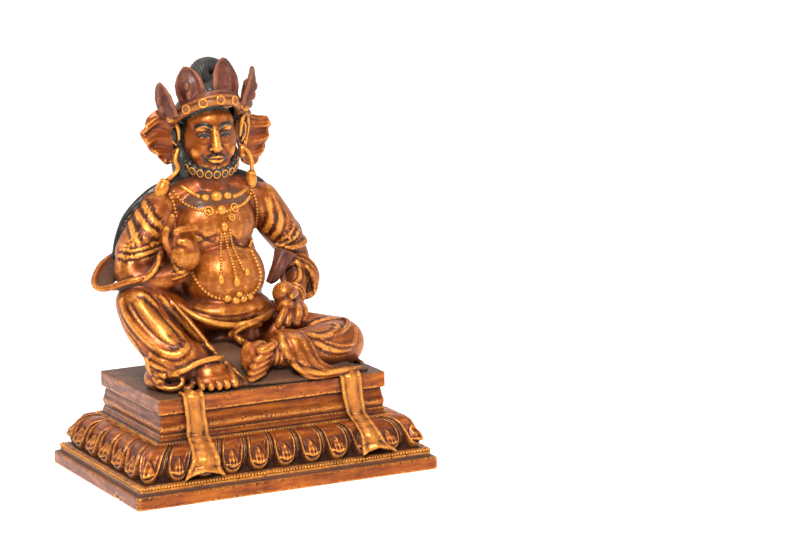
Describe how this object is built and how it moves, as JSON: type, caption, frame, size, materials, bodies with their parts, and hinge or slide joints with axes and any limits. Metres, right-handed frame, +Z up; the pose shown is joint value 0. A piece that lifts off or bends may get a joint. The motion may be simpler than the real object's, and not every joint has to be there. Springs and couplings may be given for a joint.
{
  "type": "jambhala statue",
  "caption": "Seated Jambhala with raised knee, leaf crown, cape and jewelled chains on a rectangular lotus plinth, two ribbons over its front.",
  "frame": {"origin": "centre of the flat underside of the plinth's bottom slab", "axes": "+Z up, -Y the way the figure faces, +X to the figure's own left"},
  "size_m": [0.17, 0.1156, 0.2144],
  "materials": {
    "gilt_lacquer": "gilt and red-brown lacquer, worn glossy",
    "gilt_lacquer_plinth": "gilt and red-brown lacquer, worn glossy"
  },
  "bodies": {
    "root": {"figure": "gilt_lacquer", "lotus_plinth": "gilt_lacquer_plinth"}
  },
  "joints": []
}
